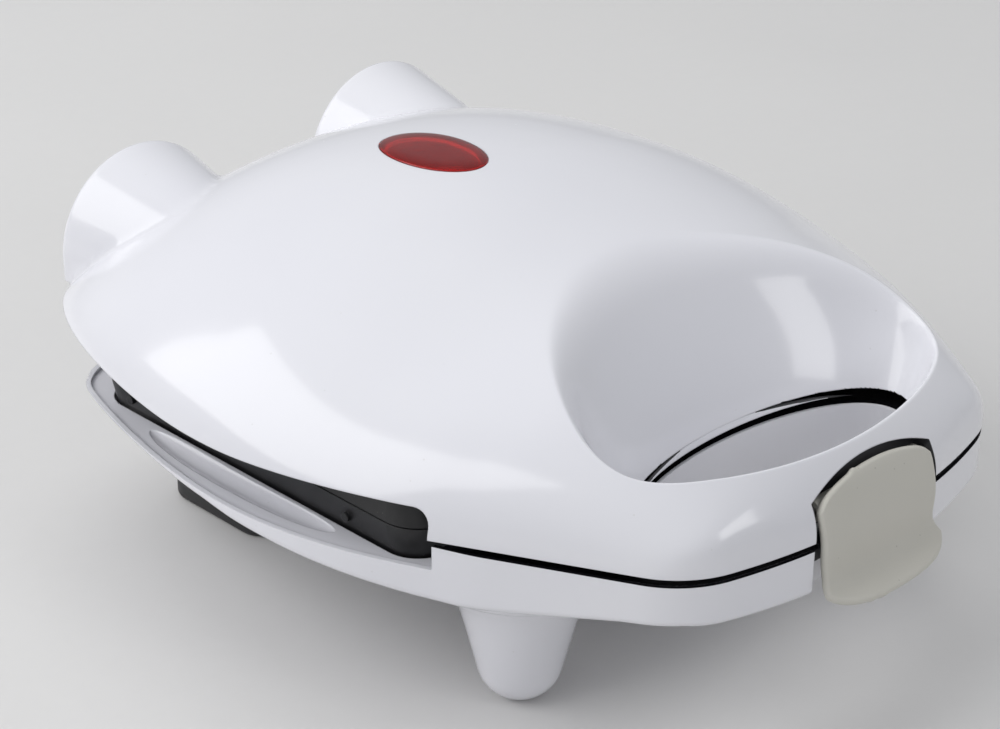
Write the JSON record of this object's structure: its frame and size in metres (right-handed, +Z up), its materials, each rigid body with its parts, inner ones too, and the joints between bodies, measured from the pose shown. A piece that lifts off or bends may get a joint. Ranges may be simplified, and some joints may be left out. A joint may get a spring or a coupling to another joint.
{
  "type": "sandwich maker",
  "caption": "Countertop sandwich maker with a domed hinged lid, non-stick plates, front grip with a finger hole and latch, legs and a cord winder.",
  "frame": {"origin": "on the table, under the middle of the whole outline", "axes": "+Z up, -Y towards the front grip, +Y towards the hinge, +X to the right seen from the front"},
  "size_m": [0.2254, 0.271, 0.1129],
  "materials": {
    "casing": "glossy white moulded plastic",
    "nonstick": "cast aluminium with a black non-stick coating",
    "steel": "plain steel",
    "reflector": "bright aluminium sheet",
    "copper": "tinned copper",
    "lens": "glossy red translucent plastic",
    "lamp_glass": "clear glass",
    "inner_plastic": "heat-proof moulding",
    "latch_plastic": "matte beige-grey plastic",
    "black_plastic": "matte black plastic",
    "terminal_ceramic": "unglazed"
  },
  "bodies": {
    "base": {"lower_shell": "casing", "lower_plate": "nonstick", "lower_heater": "steel", "lower_heater_clips": "steel", "lower_reflector": "reflector", "lower_plate_screws": "steel", "lower_leads": "copper", "lower_hinge_brackets": "steel", "lower_hinge_screws": "steel", "hinge_pins": "steel", "cord_winder": "black_plastic", "winder_screws": "steel", "cord_inlet": "black_plastic", "terminal_block": "terminal_ceramic"},
    "lid": {"upper_shell": "casing", "upper_plate": "nonstick", "upper_heater": "steel", "upper_heater_clips": "steel", "upper_reflector": "reflector", "upper_plate_screws": "steel", "upper_leads": "copper", "thermostat": "steel", "thermal_fuse": "copper", "fuse_clip": "steel", "indicator_lens": "lens", "neon_lamp": "lamp_glass", "lamp_holder": "inner_plastic", "lamp_holder_screws": "steel", "upper_hinge_brackets": "steel", "upper_hinge_screws": "steel", "latch_pin": "steel"},
    "latch": {"latch": "latch_plastic"}
  },
  "joints": [
    {"name": "lid_hinge", "type": "hinge", "parent": "base", "child": "lid", "pos_m": [0, 0.112, 0.059], "axis": [-1, 0, 0], "range_deg": [0, 100]},
    {"name": "latch_pivot", "type": "hinge", "parent": "lid", "child": "latch", "pos_m": [0, -0.113, 0.066], "axis": [-1, 0, 0], "range_deg": [0, 15]}
  ]
}
